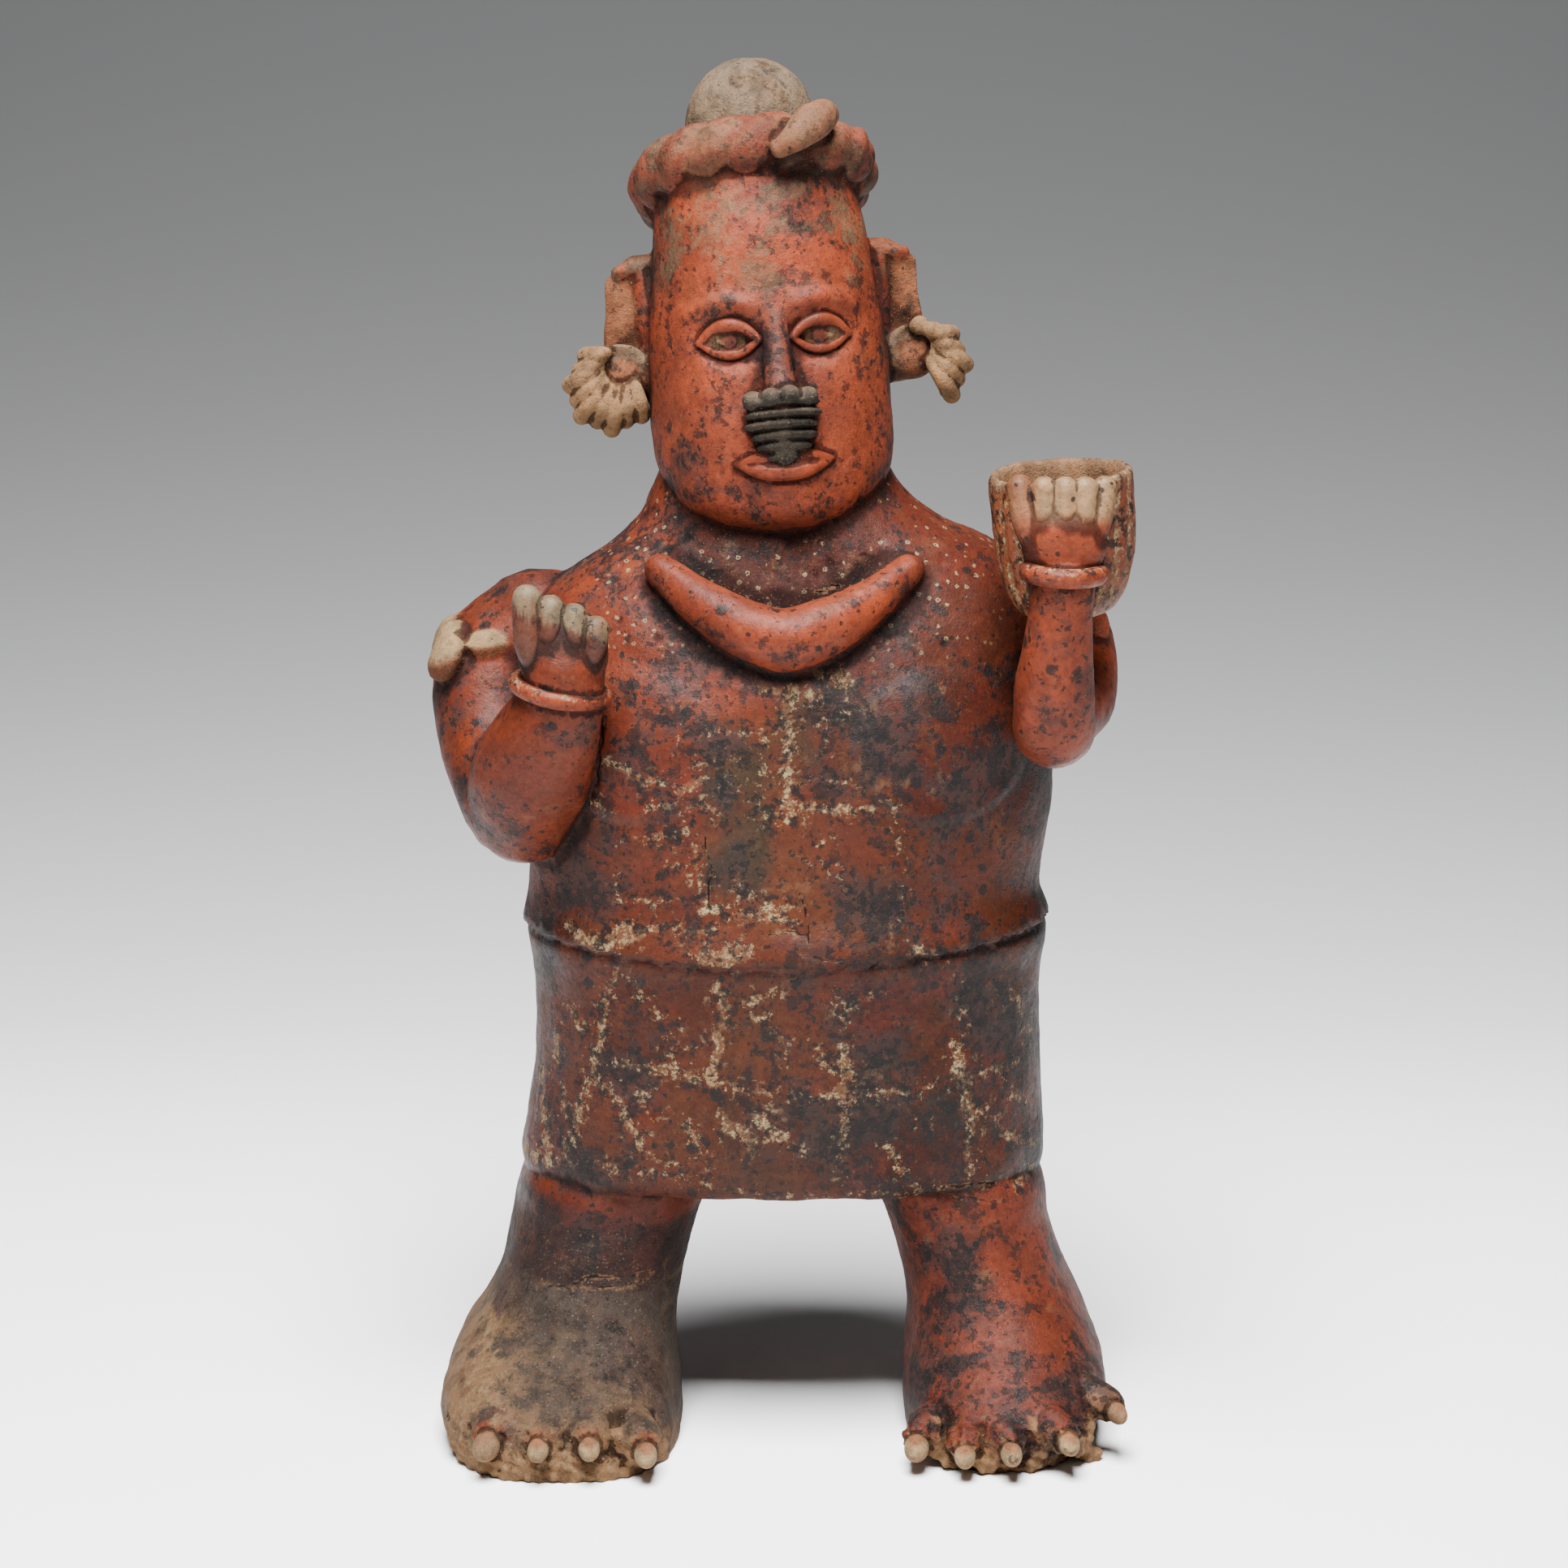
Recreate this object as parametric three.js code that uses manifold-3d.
// A standing figure of hollow fired clay, modelled by hand and painted with slips.
// Both forearms are raised in front of the shoulders, and the figure's left hand holds a cup.
// Clay rolls and pellets were pressed on before firing: a twisted headband, ear and nose
// ornaments, a crescent collar, bracelets, shoulder pellets, fingers and toes. It was fired
// as one piece, so it is one solid. The wall inside isn't modelled: only the cup is hollow.
// Millimetres, +Z up. The figure faces -Y, and the cup is on the +X side.

import * as THREE from "three";
import { mergeVertices } from "three/addons/utils/BufferGeometryUtils.js";
import Module from "manifold-3d";

const wasm = await Module();
wasm.setup();

// Driving dimensions
const HEIGHT = 450;
const BODY_HALF = 85; // half the width of skirt and chest
const BODY_DEEP = 60; // half their depth
const HEAD_HALF = 36;
const HEAD_DEEP = 39;
const ARM_THICK = 20; // radius of an upper arm
const BAND_THICK = 10.5; // radius of the headband's twisted rolls together
const KNOB = 21.5; // radius of the tuft on the head

// Levels, as shares of the height
const HEM_Z = 0.188 * HEIGHT;
const WAIST_Z = 0.366 * HEIGHT;
const SHOULDER_Z = 0.633 * HEIGHT;
const CHIN_Z = 0.664 * HEIGHT;
const CROWN_Z = 0.945 * HEIGHT;

// How the head is held: it leans towards -X and is turned a little towards +X
const HEAD_LEAN = THREE.MathUtils.degToRad(-4);
const HEAD_TURN = THREE.MathUtils.degToRad(5);
const HEAD_PIVOT = new THREE.Vector3(-3.5, 0, CHIN_Z + 13);

const SKIN = { color: 0xa8452a, roughness: 0.5, metalness: 0 };

// Small tools

const at = (x, y, z) => new THREE.Vector3(x, y, z);

// A closed skin over rings of points, with a fan over each end
function skin(rings) {
  const sides = rings[0].length;
  const points = rings.flat();
  const faces = [];
  for (let ring = 0; ring + 1 < rings.length; ring++) {
    for (let side = 0; side < sides; side++) {
      const here = ring * sides + side;
      const next = ring * sides + ((side + 1) % sides);
      faces.push(here, next, next + sides, here, next + sides, here + sides);
    }
  }
  const middle = (ring) => ring.reduce((sum, p) => sum.add(p), at(0, 0, 0)).divideScalar(sides);
  const last = (rings.length - 1) * sides;
  points.push(middle(rings[0]), middle(rings.at(-1)));
  for (let side = 0; side < sides; side++) {
    const next = (side + 1) % sides;
    faces.push(points.length - 2, next, side);
    faces.push(points.length - 1, last + side, last + next);
  }
  return new THREE.BufferGeometry().setFromPoints(points).setIndex(faces);
}

// Runs smoothly through rows of numbers: their first column is the place along the way
function through(rows) {
  const size = rows[0].length - 1;
  const places = rows.map((row) => row[0]);
  const values = rows.flatMap((row) => row.slice(1));
  const curve = new THREE.CubicInterpolant(places, values, size);
  return (place) => Array.from(curve.evaluate(place));
}

// A solid of level sections. A row is [z, centre x, centre y, half width, half depth, squareness].
// A section is an ellipse whose corners are filled out as its squareness grows past 2.
function levels(rows, sides, rings) {
  const section = through(rows);
  const bottom = rows[0][0];
  const top = rows.at(-1)[0];
  return skin(
    Array.from({ length: rings + 1 }, (_, ring) => {
      const z = bottom + ((top - bottom) * ring) / rings;
      const [x, y, half, deep, square] = section(z);
      const bulge = (value) => Math.sign(value) * Math.abs(value) ** (2 / square);
      return Array.from({ length: sides }, (_, side) => {
        const turn = (2 * Math.PI * (side + 0.5)) / sides;
        return at(x + half * bulge(Math.cos(turn)), y + deep * bulge(Math.sin(turn)), z);
      });
    }),
  );
}

// A roll of clay with round ends through stops of [x, y, z, radius]
function roll(stops, sides = 8, steps = 3 * stops.length, flatness = 1) {
  const line = new THREE.CatmullRomCurve3(stops.map(([x, y, z]) => at(x, y, z)));
  const thickness = through(stops.map((stop, i) => [i / (stops.length - 1), stop[3]]));
  const frames = line.computeFrenetFrames(steps);
  const ring = (step, shrink, ahead) => {
    const share = step / steps;
    const radius = thickness(line.getUtoTmapping(share))[0];
    const centre = line.getPointAt(share).addScaledVector(frames.tangents[step], ahead * radius);
    return Array.from({ length: sides }, (_, side) => {
      const turn = (2 * Math.PI * side) / sides;
      return centre
        .clone()
        .addScaledVector(frames.normals[step], shrink * radius * Math.cos(turn))
        .addScaledVector(frames.binormals[step], flatness * shrink * radius * Math.sin(turn));
    });
  };
  return skin([
    ring(0, 0.66, -0.72),
    ...Array.from({ length: steps + 1 }, (_, step) => ring(step, 1, 0)),
    ring(steps, 0.66, 0.72),
  ]);
}

// A pellet: an ellipsoid of [x, y, z] half sizes, turned by angles in degrees
function pellet(centre, half, turn = [0, 0, 0], around = 10, down = 6) {
  const ball = new THREE.SphereGeometry(1, around, down).scale(...half);
  const euler = new THREE.Euler(...turn.map(THREE.MathUtils.degToRad));
  return ball.applyMatrix4(new THREE.Matrix4().makeRotationFromEuler(euler)).translate(...centre);
}

// A ring lying level around a wrist, tipped by angles in degrees
function bracelet(centre, half, thickness, tip) {
  const ring = new THREE.TorusGeometry(half, thickness, 5, 14);
  const euler = new THREE.Euler(...tip.map(THREE.MathUtils.degToRad));
  return ring.applyMatrix4(new THREE.Matrix4().makeRotationFromEuler(euler)).translate(...centre);
}

function solid(geometry) {
  const bare = geometry.clone();
  bare.deleteAttribute("normal");
  bare.deleteAttribute("uv");
  const merged = mergeVertices(bare, 1e-3);
  return new wasm.Manifold(
    new wasm.Mesh({
      numProp: 3,
      vertProperties: merged.attributes.position.array,
      triVerts: new Uint32Array(merged.index.array),
    }),
  );
}

const join = (geometries) => geometries.map(solid).reduce((whole, piece) => whole.add(piece));

// Body: a broad barrel from the hem to the neck. The upper garment's lower edge stands out
// as a soft ridge at the waist, and the shoulder on the cup's side is the higher one.

function torso() {
  const row = (z, x, half, deep, square = 2.4) => [
    z,
    x,
    0,
    half * BODY_HALF,
    deep * BODY_DEEP,
    square,
  ];
  return levels(
    [
      row(HEM_Z, -1, 1.02, 0.93),
      row(HEM_Z + 5, -0.8, 1.035, 0.97),
      row(HEM_Z + 22, -0.3, 1.015, 0.99),
      row(HEM_Z + 40, 0.7, 0.995, 1.0),
      row(HEM_Z + 60, 1, 0.99, 1.01),
      row(WAIST_Z - 9, 0.8, 1.0, 1.02),
      row(WAIST_Z, 0.6, 1.03, 1.06),
      row(WAIST_Z + 8, 0.2, 1.01, 1.03),
      row(WAIST_Z + 16, -0.5, 0.995, 1.01),
      row(SHOULDER_Z - 71, 1, 1.03, 1.01),
      row(SHOULDER_Z - 40, 0.5, 1.03, 0.96),
      row(SHOULDER_Z - 20, 0, 1.0, 0.85),
      row(SHOULDER_Z - 7, 1.5, 0.955, 0.74),
      row(SHOULDER_Z + 2, 4.5, 0.86, 0.66, 2.3),
      row(SHOULDER_Z + 10, 5.5, 0.73, 0.61, 2.2),
      row(SHOULDER_Z + 18, 1, 0.575, 0.575, 2.1),
      row(SHOULDER_Z + 27, -3, 0.485, 0.56, 2.1),
      row(SHOULDER_Z + 40, -4, 0.41, 0.5, 2.1),
    ],
    26,
    30,
  );
}

// Crescent collar, thick in the middle and tapering to its two tips
function collar() {
  const reach = 43;
  const rise = 21;
  const stops = Array.from({ length: 7 }, (_, i) => {
    const along = (i - 3) / 3;
    const z = SHOULDER_Z - 18 + rise * Math.abs(along) ** 1.6;
    const y = -55.5 + 18 * Math.abs(along) ** 1.7;
    return [reach * along, y, z, 9.4 - 4.8 * Math.abs(along) ** 1.7];
  });
  return roll(stops, 7, 11);
}

// Legs: thick pedestals flush with the skirt, spreading into big feet that reach forward.
// A row is [z, inner x, outer x, back y, front y, squareness], with x counted away from the middle.

const LEGS = [
  {
    side: -1,
    rows: [
      [-6, 37, 105, 36, -82, 2.7],
      [2, 35, 111, 40, -87, 2.8],
      [12, 35, 114.5, 42, -88, 2.8],
      [20, 36, 113, 43, -81, 2.7],
      [30, 37, 108, 43, -68, 2.6],
      [40, 36.5, 101, 43, -56, 2.5],
      [52, 34, 95.5, 44, -49, 2.4],
      [68, 29.5, 92, 45, -45, 2.4],
      [HEM_Z - 2, 24, 88.5, 45, -44, 2.4],
      [HEM_Z + 8, 21, 82, 42, -40, 2.4],
    ],
    toes: [
      [-94, -80, 11, 8.5],
      [-78, -86, 11.5, 6.4],
      [-62.5, -86, 12, 6.6],
      [-45.5, -84, 9.5, 7.8],
    ],
  },
  {
    side: 1,
    rows: [
      [-6, 42, 96, 36, -78, 2.3],
      [2, 40, 102, 40, -82, 2.3],
      [12, 39.5, 106, 42, -84, 2.4],
      [20, 40, 106.5, 43, -78, 2.4],
      [30, 41, 103.5, 43, -66, 2.3],
      [40, 41, 99.5, 43, -55, 2.3],
      [52, 39, 94, 44, -48, 2.3],
      [68, 34, 89, 45, -45, 2.3],
      [HEM_Z - 2, 28, 86.5, 45, -44, 2.3],
      [HEM_Z + 8, 25, 81, 42, -40, 2.3],
    ],
    toes: [
      [43, -75, 8.5, 7.4],
      [57.5, -82, 8, 6.4],
      [71.5, -84, 9.5, 6.8],
      [89, -80, 12, 7.6],
      [105, -64, 16.5, 6.8],
    ],
  },
];

function leg({ side, rows }) {
  const sections = rows.map(([z, inner, outer, back, front, square]) => [
    z,
    (side * (inner + outer)) / 2,
    (back + front) / 2,
    (outer - inner) / 2,
    (back - front) / 2,
    square,
  ]);
  return levels(sections, 16, 10);
}

// Toes are short rolls on the foot's front rim, each pointing away from the ankle
function toes({ side, toes: places }) {
  return places.map(([x, y, z, thick]) => {
    const out = 0.12 * (x - side * 62);
    return roll(
      [
        [x - 2 * out, y + 10, z + 2, thick * 0.95],
        [x, y, z, thick],
        [x + 0.5 * out, y - 2.5, z - 0.3, thick * 0.92],
      ],
      8,
      2,
    );
  });
}

// Arms: the upper arm comes down from the shoulder, and the forearm rises in front of it

const ARM = {
  empty: {
    upper: [
      [-82, 5, 261, 1.18],
      [-96, 0, 251, 1.04],
      [-96, -13, 230, 0.9],
      [-88, -30, 211, 0.88],
    ],
    fore: [
      [-85, -34, 210, 0.9],
      [-82, -44, 222, 0.98],
      [-76, -54, 236, 0.86],
      [-71, -61, 249, 0.69],
      [-70, -64, 258, 0.66],
    ],
  },
  holding: {
    upper: [
      [74, 5, 270, 1.16],
      [88, -2, 260, 1.02],
      [93, -22, 246, 0.74],
      [87, -48, 241, 0.62],
    ],
    fore: [
      [86, -52, 241, 0.62],
      [84.5, -61, 241, 0.65],
      [84, -68, 254, 0.62],
      [85, -73, 272, 0.53],
      [86, -76, 290, 0.49],
    ],
  },
};

function arm({ upper, fore }) {
  const sized = (stops) => stops.map(([x, y, z, share]) => [x, y, z, share * ARM_THICK]);
  return [roll(sized(upper), 12, 7), roll(sized(fore), 12, 8)];
}

// The empty hand is a cupped palm with four fingers standing up
function emptyHand() {
  const [x, y, z] = [-70, -66, 266];
  const fingers = [
    [-10, 20, 5.8],
    [-2.5, 17, 5.6],
    [5.5, 14.5, 5.4],
    [11.5, 9, 5.2],
  ].map(([across, tall, thick]) =>
    roll(
      [
        [x + across * 0.6, y + 1, z - 10, thick],
        [x + across, y - 1, z + 2, thick * 1.15],
        [x + across * 1.1, y - 2.5, z + tall - 3, thick * 0.9],
      ],
      7,
      3,
    ),
  );
  return [
    pellet([x, y + 1, z - 1], [15, 10.5, 15], [0, 8, 0], 10, 6),
    ...fingers,
    bracelet([x - 1, y + 4, z - 13.5], 14, 3, [8, 11, 0]),
  ];
}

// The cup's wall is 4.5 mm thick. It leans forward and a little towards -X.
const CUP = { centre: [89.5, -50, 275.5], height: 46, lip: 23.5, foot: 12, wall: 4.5 };

// Turns a profile of [radius, height] round the cup's own axis
function roundCup(profile) {
  const { centre } = CUP;
  return new THREE.LatheGeometry(
    profile.map(([radius, up]) => new THREE.Vector2(radius, up)),
    20,
  )
    .rotateX(THREE.MathUtils.degToRad(90 + 6))
    .rotateY(THREE.MathUtils.degToRad(-4))
    .translate(...centre);
}

function cup() {
  const { height, lip, foot, wall } = CUP;
  const outside = [
    [0, 0],
    [foot, 0],
    [foot + 5.5, 5],
    [foot + 8.5, 14],
    [lip - 1, 28],
    [lip, height - 2],
    [lip - 1.5, height],
  ];
  const inside = [
    [lip - wall + 1, height],
    [lip - wall, height - 3],
    [lip - wall - 1, 26],
    [foot + 3, 13],
    [foot - 2, 8],
    [0, 7],
  ];
  return roundCup([...outside, ...inside]);
}

// The holding hand: fingers and a thicker thumb spread up the cup's wall from the wrist
function holdingHand() {
  const [x, y, z] = [86, -77, 300];
  const fingers = [-14, -6.6, 0, 6.4, 12.6].map((across, i) => {
    const thick = i === 0 ? 5 : 4.2;
    const back = 0.016 * across ** 2;
    return roll(
      [
        [x + across * 0.35, y, z - 5, thick],
        [x + across * 0.8, y - 2 + back, z + 7, thick],
        [x + across, y - 3.5 + 1.6 * back, z + 17, thick * 0.85],
      ],
      6,
      2,
    );
  });
  return [
    pellet([x, y + 2, z], [12.5, 8, 12], [0, 0, 0], 10, 5),
    ...fingers,
    bracelet([x, y + 1, z - 9], 10.8, 3, [6, 2, 0]),
  ];
}

// Pellets in a row over the top of each upper arm
function shoulderPellets(side) {
  const [x, y, z] = side < 0 ? [-93, 0, 251] : [89, 0, 262];
  return [-52, -14, 24].map((around) => {
    const turn = THREE.MathUtils.degToRad(around);
    return pellet(
      [x + side * (side < 0 ? 18.5 : 13), y + 20 * Math.sin(turn), z + 1 + 10 * Math.cos(turn)],
      [5.5, 8.5, 9],
      [0, side * -25, side * around * 0.5],
      8,
      4,
    );
  });
}

// Head, made upright and then posed. Its face follows the usual thirds, from chin to hairline.

const FACE_THIRD = (CROWN_Z - CHIN_Z) * 0.283;
const NOSE_Z = CHIN_Z + FACE_THIRD;
const BROW_Z = CHIN_Z + 2 * FACE_THIRD;
const EYE_Z = (CHIN_Z + CROWN_Z) / 2;
const MOUTH_Z = NOSE_Z - FACE_THIRD / 3;
const EYE_WIDTH = (2 * HEAD_HALF) / 5;
const FACE_Y = -5 - HEAD_DEEP;

function skull() {
  const row = (z, y, half, deep) => [z, 0, y, half * HEAD_HALF, deep * HEAD_DEEP, 2.25];
  return levels(
    [
      row(CHIN_Z, -14, 0.42, 0.45),
      row(CHIN_Z + 5, -11, 0.74, 0.78),
      row(CHIN_Z + 14, -8, 0.98, 0.94),
      row(CHIN_Z + 30, -6, 1.09, 0.99),
      row(CHIN_Z + 60, -5, 1.06, 1.0),
      row(CHIN_Z + 90, -4, 0.97, 0.97),
      row(CROWN_Z - 20, -2, 0.91, 0.93),
      row(CROWN_Z - 8, 0, 0.83, 0.85),
      row(CROWN_Z, 0, 0.6, 0.6),
    ],
    20,
    11,
  );
}

// Rimmed almond eyes under low brows, a straight nose, a closed mouth and a rounded chin
function face() {
  const eyes = [-1, 1].flatMap((side) => {
    const x = side * EYE_WIDTH;
    const rim = new THREE.TorusGeometry(1, 0.2, 5, 12)
      .scale(0.56 * EYE_WIDTH, 0.36 * EYE_WIDTH, 8)
      .rotateX(Math.PI / 2)
      .rotateZ(THREE.MathUtils.degToRad(14 * side))
      .translate(x, FACE_Y + 2.4, EYE_Z);
    const ball = pellet([x, FACE_Y + 4.5, EYE_Z], [7.5, 6, 5], [0, 0, 14 * side], 8, 5);
    const brow = roll(
      [-1, 0, 1].map((along) => [
        x + along * EYE_WIDTH * 0.72,
        FACE_Y + 2.4 + (side * along > 0 ? 4.4 : 0),
        BROW_Z + 2.6 - 2.2 * along ** 2,
        3.4,
      ]),
      5,
      3,
    );
    return [rim, ball, brow];
  });
  const nose = roll(
    [
      [0, FACE_Y + 3, BROW_Z + 2, 4.5],
      [0, FACE_Y - 2, (BROW_Z + NOSE_Z) / 2, 5],
      [0, FACE_Y - 6, NOSE_Z + 6, 6.5],
    ],
    8,
    2,
  );
  const lip = (z, thick, sag) =>
    roll(
      [-1, 0, 1].map((along) => [
        along * EYE_WIDTH,
        FACE_Y + 1.4 + 4.4 * along ** 2,
        z + sag * (1 - along ** 2),
        thick * (1 - 0.3 * along ** 2),
      ]),
      6,
      4,
    );
  const chin = pellet([0, FACE_Y + 9, CHIN_Z + 8], [13, 10, 8.5], [0, 0, 0], 10, 5);
  return [...eyes, nose, lip(MOUTH_Z + 1.6, 3.2, 0.6), lip(MOUTH_Z - 2, 3.2, -1), chin];
}

// Nose ornament: clay rings stacked below the nose's tip, each smaller than the one above
function noseOrnament() {
  const top = NOSE_Z + 5;
  const count = 5;
  const pitch = 4.6;
  const rows = Array.from({ length: 2 * count + 1 }, (_, i) => {
    const waist = i % 2 === 0 ? 0.8 : 1;
    const reach = (12.6 - 0.62 * i) * waist;
    return [top - (i * pitch) / 2, 0, FACE_Y - 3.5 + 0.35 * i, reach, 0.72 * reach, 2.1];
  });
  const lumps = [-7.5, 0, 7.5].map((x) =>
    pellet([x, FACE_Y - 9.5 + Math.abs(x) * 0.4, top + 0.5], [4.6, 4.4, 3.8], [0, 0, 0], 7, 4),
  );
  return [levels(rows.toReversed(), 12, 2 * count), ...lumps];
}

// Twisted headband: two rolls wound round each other, as one band with a waisted section
// that turns as it goes round. The band rises towards the forehead.
function headband() {
  const middle = [0, 0, CROWN_Z - 14];
  const half = [31, 33];
  const twists = 5;
  const steps = 50;
  const sides = 8;
  const dip = THREE.MathUtils.degToRad(-20);
  const rings = Array.from({ length: steps }, (_, step) => {
    const turn = (2 * Math.PI * step) / steps;
    const outward = at(Math.cos(turn) / half[0], Math.sin(turn) / half[1], 0).normalize();
    const centre = at(half[0] * Math.cos(turn), half[1] * Math.sin(turn), 0);
    return Array.from({ length: sides }, (_, side) => {
      const round = (2 * Math.PI * side) / sides;
      const reach = BAND_THICK * (0.97 + 0.1 * Math.cos(2 * (round - twists * turn)));
      return centre
        .clone()
        .addScaledVector(outward, reach * Math.cos(round))
        .add(at(0, 0, reach * Math.sin(round)));
    });
  });
  const end = roll(
    [
      [10, -44, CROWN_Z - 12, 5],
      [17, -41, CROWN_Z - 2, 6],
      [23, -34, CROWN_Z + 4, 5],
    ],
    7,
    3,
  );
  return [closedLoop(rings).rotateX(dip).translate(...middle), end];
}

// A skin over rings that close on themselves. A ring's points run from outward to up.
function closedLoop(rings) {
  const sides = rings[0].length;
  const faces = [];
  rings.forEach((_, ring) => {
    const start = ring * sides;
    const following = ((ring + 1) % rings.length) * sides;
    for (let side = 0; side < sides; side++) {
      const next = (side + 1) % sides;
      faces.push(start + side, following + side, following + next);
      faces.push(start + side, following + next, start + next);
    }
  });
  return new THREE.BufferGeometry().setFromPoints(rings.flat()).setIndex(faces);
}

// Knob: a round tuft above the headband
function knob() {
  return pellet([0.5, 3, HEIGHT - KNOB + 0.5], [KNOB, KNOB, KNOB], [90, 0, 0], 14, 8);
}

// Ears are tall flat flaps with a raised rim in front
function ear(side) {
  const foot = EYE_Z - 18;
  const top = EYE_Z + 28;
  const flap = (z, out, half) => [z, side * (HEAD_HALF + out), 3, half, 4.5, 2.6];
  const rim = roll(
    [
      [side * (HEAD_HALF + 15), -1, foot + 6, 2.6],
      [side * (HEAD_HALF + 14.5), -1.5, EYE_Z + 4, 2.8],
      [side * (HEAD_HALF + 10), -2, top - 4, 3.2],
      [side * (HEAD_HALF + 1), -3, top - 3, 3],
    ],
    6,
    5,
  );
  return [
    levels(
      [
        flap(foot, 4, 9),
        flap(foot + 6, 5, 11.5),
        flap(EYE_Z + 6, 4.5, 11.5),
        flap(top - 4, 2.5, 9),
        flap(top, 1, 5),
      ],
      10,
      5,
    ),
    rim,
  ];
}

// Ear ornaments: a shallow spool with a fan of short clay rolls around its lower rim
function earOrnament(side) {
  const [x, y, z] = [side * (HEAD_HALF + 15.5), -5, EYE_Z - 14];
  const [first, last] = side < 0 ? [165, 320] : [-60, 85];
  const points = 36;
  const lobes = 12;
  const outline = (share, depth) =>
    Array.from({ length: points }, (_, i) => {
      const turn = (2 * Math.PI * i) / points;
      const degrees = THREE.MathUtils.radToDeg(turn);
      const inFan = [degrees, degrees - 360].some((angle) => angle > first && angle < last);
      const lobe = inFan ? 15.5 + 1.6 * Math.cos(lobes * turn) : 12;
      return at(x + share * lobe * Math.cos(turn), y + depth, z + share * lobe * Math.sin(turn));
    });
  const fan = skin([outline(0.8, 5), outline(1, 3), outline(1, -3), outline(0.72, -5.5)]);
  const lobe = roll(
    [
      [side * (HEAD_HALF - 3), 0, z + 1, 8],
      [x, y + 3, z, 8],
    ],
    8,
    2,
  );
  return [fan, lobe];
}

function head() {
  const pose = new THREE.Matrix4()
    .makeTranslation(HEAD_PIVOT)
    .multiply(new THREE.Matrix4().makeRotationY(HEAD_LEAN))
    .multiply(new THREE.Matrix4().makeRotationZ(HEAD_TURN))
    .multiply(new THREE.Matrix4().makeTranslation(0, 0, -HEAD_PIVOT.z));
  const pieces = [
    skull(),
    ...face(),
    ...noseOrnament(),
    ...headband(),
    knob(),
    ...[-1, 1].flatMap((side) => [...ear(side), ...earOrnament(side)]),
  ];
  return pieces.map((piece) => piece.applyMatrix4(pose));
}

// The whole figure, cut off flat under the soles

function figure() {
  const whole = join([
    torso(),
    collar(),
    ...LEGS.flatMap((one) => [leg(one), ...toes(one)]),
    ...arm(ARM.empty),
    ...emptyHand(),
    ...arm(ARM.holding),
    cup(),
    ...holdingHand(),
    ...shoulderPellets(-1),
    ...shoulderPellets(1),
    ...head(),
  ]);
  const floor = new THREE.BoxGeometry(3 * HEIGHT, 3 * HEIGHT, 40).translate(0, 0, -20);
  return hollowCup(whole).subtract(solid(floor));
}

// Clears what the hand and arm leave inside the cup
function hollowCup(whole) {
  const { height, lip, foot, wall } = CUP;
  const space = roundCup([
    [0, 7.5],
    [foot - 2, 8.5],
    [foot + 3, 13.5],
    [lip - wall - 1, 26.5],
    [lip - wall, height - 3],
    [lip - wall + 1, height + 0.5],
    [lip - wall + 1, height + 12],
    [0, height + 12],
  ]);
  return whole.subtract(solid(space));
}

function geometryOf(manifold) {
  const { numVert, numProp, vertProperties, triVerts } = manifold.getMesh();
  const positions = new Float32Array(3 * numVert);
  for (let i = 0; i < numVert; i++) {
    positions.set(vertProperties.subarray(i * numProp, i * numProp + 3), 3 * i);
  }
  return new THREE.BufferGeometry()
    .setAttribute("position", new THREE.BufferAttribute(positions, 3))
    .setIndex(new THREE.BufferAttribute(triVerts, 1));
}

// Draws corners together where a join leaves an edge shorter than reach. An edge goes only
// where its two ends share just two neighbours, so the skin stays closed and unpinched.
function drawTogether(geometry, reach, passes) {
  const place = geometry.attributes.position;
  const corner = (i) => at(place.getX(i), place.getY(i), place.getZ(i));
  let faces = [];
  for (let i = 0; i < geometry.index.count; i += 3) {
    faces.push([0, 1, 2].map((k) => geometry.index.getX(i + k)));
  }
  for (let pass = 0; pass < passes; pass++) {
    const near = Array.from({ length: place.count }, () => new Set());
    const edges = faces.flatMap(([a, b, c]) => [
      [a, b],
      [b, c],
      [c, a],
    ]);
    edges.forEach(([a, b]) => near[a].add(b));
    const held = new Set();
    const moved = new Map();
    for (const [a, b] of edges) {
      if (held.has(a) || held.has(b) || corner(a).distanceTo(corner(b)) > reach) continue;
      if ([...near[a]].filter((other) => near[b].has(other)).length !== 2) continue;
      moved.set(a, b);
      [a, b, ...near[a], ...near[b]].forEach((other) => held.add(other));
    }
    if (moved.size === 0) break;
    faces = faces
      .map((face) => face.map((i) => moved.get(i) ?? i))
      .filter(([a, b, c]) => a !== b && b !== c && c !== a);
  }
  return new THREE.BufferGeometry().setAttribute("position", place).setIndex(faces.flat());
}

// The origin is on the floor, in the middle of the figure's box
const form = drawTogether(geometryOf(figure()), 0.6, 20);
form.computeBoundingBox();
const middle = form.boundingBox.getCenter(new THREE.Vector3());
form.translate(-middle.x, -middle.y, -form.boundingBox.min.z);
const mesh = new THREE.Mesh(form, new THREE.MeshStandardMaterial(SKIN));
mesh.name = "clay_figure";

const group = new THREE.Group();
group.add(mesh);

export default group;
